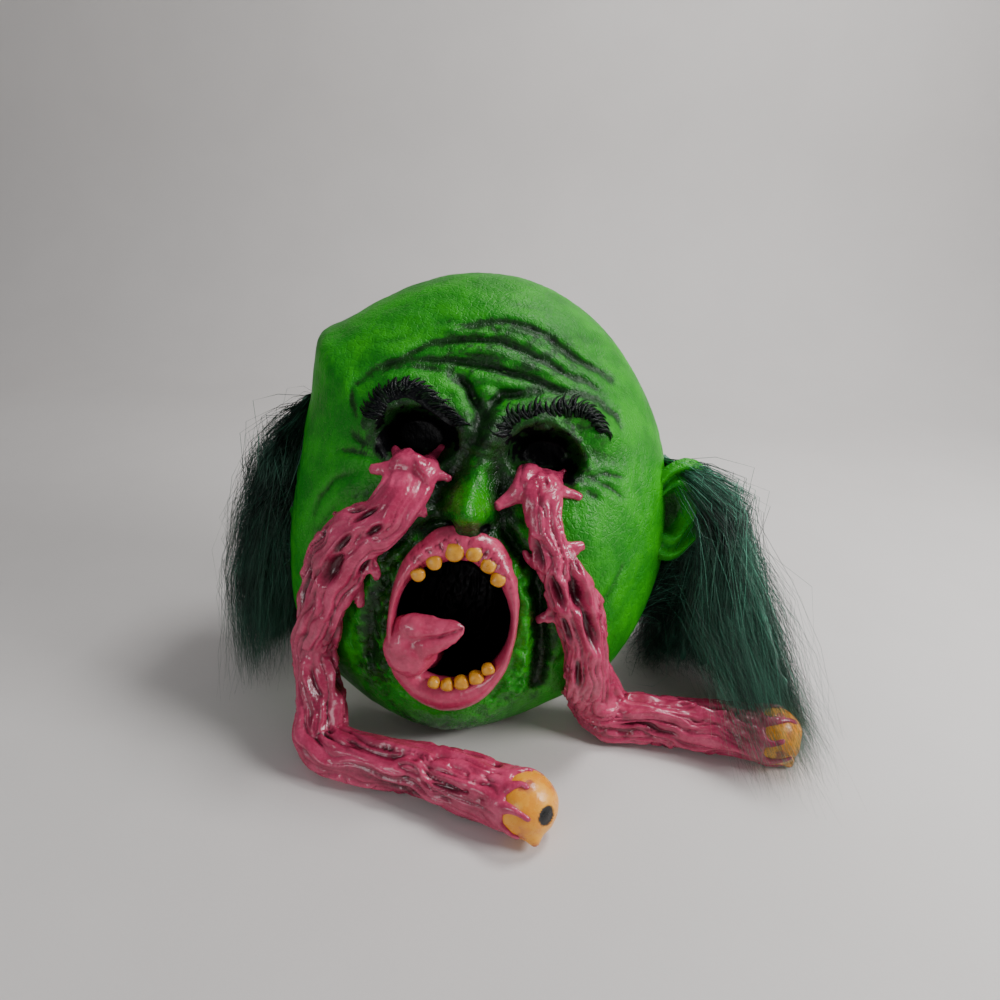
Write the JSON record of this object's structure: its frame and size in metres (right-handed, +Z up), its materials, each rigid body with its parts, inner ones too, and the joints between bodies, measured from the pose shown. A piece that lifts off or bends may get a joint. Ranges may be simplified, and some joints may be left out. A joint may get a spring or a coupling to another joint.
{
  "type": "horror mask",
  "caption": "Open-backed latex monster mask, screaming, with hanging eye strands that end in eyeballs, standing on its chin.",
  "frame": {"origin": "middle of the bounding box in plan, on the table under the mask", "axes": "+X to the viewer's right, +Y to the back of the mask, +Z up; the face looks along -Y and leans back"},
  "size_m": [0.3612, 0.2512, 0.2547],
  "materials": {
    "green_latex": "satin, black wash in the creases",
    "pink_latex": "glossy, dark red wash in the grooves",
    "tooth": "glossy",
    "eyeball": "glossy",
    "bristle": "satin",
    "hair": "long synthetic fibre"
  },
  "bodies": {
    "root": {"mask_shell": "green_latex", "lip_ring": "pink_latex", "tongue": "pink_latex", "upper_tooth_1": "tooth", "upper_tooth_2": "tooth", "upper_tooth_3": "tooth", "upper_tooth_4": "tooth", "upper_tooth_5": "tooth", "upper_tooth_6": "tooth", "lower_tooth_1": "tooth", "lower_tooth_2": "tooth", "lower_tooth_3": "tooth", "lower_tooth_4": "tooth", "lower_tooth_5": "tooth", "eyebrow_left": "bristle", "eyebrow_right": "bristle", "eye_strand_left": "pink_latex", "eye_strand_right": "pink_latex", "eyeball_left": "eyeball", "eyeball_right": "eyeball", "hair_left": "hair", "hair_right": "hair"}
  },
  "joints": []
}
